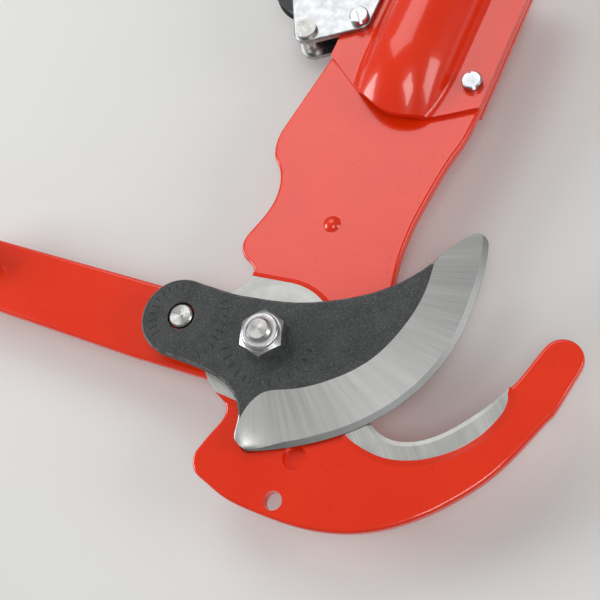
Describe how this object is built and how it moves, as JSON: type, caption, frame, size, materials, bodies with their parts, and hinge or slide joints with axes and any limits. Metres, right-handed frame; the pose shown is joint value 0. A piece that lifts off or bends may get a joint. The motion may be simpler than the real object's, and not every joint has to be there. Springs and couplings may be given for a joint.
{
  "type": "pole pruner head",
  "caption": "Rope-worked pole pruner head: hooked counter-blade plate with pole socket, curved bypass blade, pulley lever and return spring.",
  "frame": {"origin": "centre of the pole socket's mouth, on the socket's axis", "axes": "+X along the pole towards the hook; +Z square to the hook plate on the blade's side; +Y to the cutting side"},
  "size_m": [0.2634, 0.3212, 0.0488],
  "materials": {
    "orange_plate": "gloss orange powder coat, ground lands",
    "orange_shell": "gloss orange powder coat",
    "orange_lever": "gloss orange powder coat",
    "blade_steel": "black oxide forged blade with ground bevels",
    "zinc": "bright zinc plate",
    "turned_steel": "turned steel",
    "spring_steel": "oil-tempered wire",
    "nylon": "natural nylon",
    "pulley_plastic": "moulded black nylon",
    "bronze": "sintered bronze"
  },
  "bodies": {
    "head": {"hook_plate": "orange_plate", "front_socket_shell": "orange_shell", "rear_socket_shell": "orange_shell", "socket_screws": "zinc", "cheek_screws": "zinc", "socket_washers": "zinc", "socket_nuts": "zinc", "front_pulley_cheek": "zinc", "rear_pulley_cheek": "zinc", "head_pulley_bush": "bronze", "head_pulley_bolt": "zinc", "head_pulley_nut": "zinc", "rope_anchor_pin": "turned_steel", "spring_peg": "orange_plate", "return_spring": "spring_steel"},
    "cutting_arm": {"spring_sleeve": "turned_steel", "spring_washer": "zinc", "pivot_bush": "bronze", "pivot_bolt": "turned_steel", "pivot_nut": "zinc", "nut_insert": "nylon", "blade": "blade_steel", "lever_arm": "orange_lever", "drive_pin": "turned_steel", "lever_pulley_bush": "bronze", "lever_pulley_bolt": "zinc", "lever_pulley_nut": "zinc", "lever_pulley_cheek": "zinc", "cheek_rivet": "turned_steel"},
    "head_sheave": {"head_pulley": "pulley_plastic"},
    "lever_sheave": {"lever_pulley": "pulley_plastic"}
  },
  "joints": [
    {"name": "blade_pivot", "type": "hinge", "parent": "head", "child": "cutting_arm", "pos_m": [0.2, -0.005, 0], "axis": [0, 0, 1], "range_deg": [-45, 33], "stiffness_Nm_per_rad": 1.2, "deforming": ["return_spring"]},
    {"name": "head_pulley_spin", "type": "hinge", "parent": "head", "child": "head_sheave", "pos_m": [0.031, -0.0625, 0], "axis": [0, 0, 1], "continuous": true},
    {"name": "lever_pulley_spin", "type": "hinge", "parent": "cutting_arm", "child": "lever_sheave", "pos_m": [0.21258, -0.18957, 0], "axis": [0, 0, 1], "continuous": true}
  ]
}
